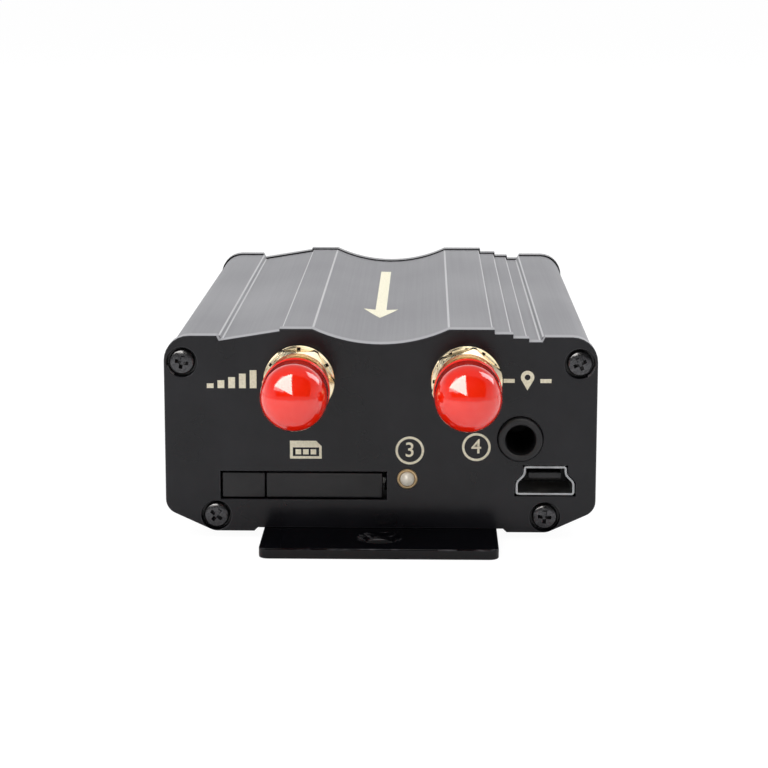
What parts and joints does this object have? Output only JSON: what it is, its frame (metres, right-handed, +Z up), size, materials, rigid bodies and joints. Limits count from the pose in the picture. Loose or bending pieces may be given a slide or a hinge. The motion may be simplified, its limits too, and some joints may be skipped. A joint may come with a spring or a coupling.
{
  "type": "vehicle gps tracker",
  "caption": "Vehicle tracker in a ridged aluminium case on a flat mounting strap, with two capped antenna jacks, card tray, status light, audio and USB openings.",
  "frame": {"origin": "centre of the mounting strap's underside", "axes": "+Z up, front plate facing -Y, +X to the right seen from the front"},
  "size_m": [0.0544, 0.1086, 0.0269],
  "materials": {
    "case_metal": "satin, fine blasted",
    "plate_paint": "satin black",
    "strap_paint": "gloss black",
    "screw_black": "black oxide",
    "gold": "gold plated",
    "cap_red": "gloss",
    "mould_black": "moulded",
    "tin": "tinned",
    "white_plastic": "moulded",
    "led_lens": "clear moulded",
    "board_green": "solder mask",
    "battery_wrap": "foil wrap",
    "foam": "foam tape",
    "wire": "insulated wire"
  },
  "bodies": {
    "case": {"housing_extrusion": "case_metal", "front_plate": "plate_paint", "rear_plate": "plate_paint", "front_screws": "screw_black", "rear_screws": "screw_black", "mounting_bracket": "strap_paint", "bracket_screws": "screw_black", "left_antenna_jack": "gold", "right_antenna_jack": "gold", "left_jack_insulator": "white_plastic", "right_jack_insulator": "white_plastic", "left_jack_contact": "gold", "right_jack_contact": "gold", "left_lock_washer": "gold", "right_lock_washer": "gold", "left_hex_nut": "gold", "right_hex_nut": "gold", "sim_socket": "mould_black", "sim_contacts": "gold", "status_led": "led_lens", "led_bezel": "gold", "led_holder": "mould_black", "audio_jack": "mould_black", "audio_jack_contacts": "tin", "usb_shell": "tin", "usb_tongue": "mould_black", "harness_header": "mould_black", "harness_pins": "tin", "power_switch_body": "mould_black", "circuit_board": "board_green", "cellular_module": "tin", "positioning_module": "tin", "controller_chip": "mould_black", "vibration_sensor": "gold", "capacitors": "tin", "power_inductor": "mould_black", "backup_battery": "battery_wrap", "battery_tape": "foam", "battery_header": "white_plastic", "battery_plug": "white_plastic", "battery_lead": "wire", "left_pigtail": "wire", "right_pigtail": "wire", "left_pigtail_plug": "gold", "right_pigtail_plug": "gold"},
    "left_cap": {"left_dust_cap": "cap_red"},
    "right_cap": {"right_dust_cap": "cap_red"},
    "card_tray": {"sim_tray": "mould_black", "sim_card": "white_plastic"},
    "eject_button": {"sim_eject_button": "mould_black"},
    "eject_lever": {"sim_eject_lever": "tin"},
    "switch_knob": {"power_switch_knob": "mould_black"}
  },
  "joints": [
    {"name": "left_cap_pull", "type": "slide", "parent": "case", "child": "left_cap", "axis": [0, -1, 0], "range_m": [0, 0.01]},
    {"name": "right_cap_pull", "type": "slide", "parent": "case", "child": "right_cap", "axis": [0, -1, 0], "range_m": [0, 0.01]},
    {"name": "tray_slide", "type": "slide", "parent": "case", "child": "card_tray", "axis": [0, -1, 0], "range_m": [0, 0.024]},
    {"name": "button_press", "type": "slide", "parent": "case", "child": "eject_button", "axis": [0, 1, 0], "range_m": [0, 0.002]},
    {"name": "lever_turn", "type": "hinge", "parent": "case", "child": "eject_lever", "pos_m": [-0.0136, -0.00965, 0.00635], "axis": [0, 0, -1], "range_deg": [0, 33]},
    {"name": "switch_slide", "type": "slide", "parent": "case", "child": "switch_knob", "axis": [1, 0, 0], "range_m": [0, 0.002]}
  ],
  "couplings": [
    {"joint": "lever_turn", "follows": "button_press", "rad_per_m": 287.95}
  ]
}
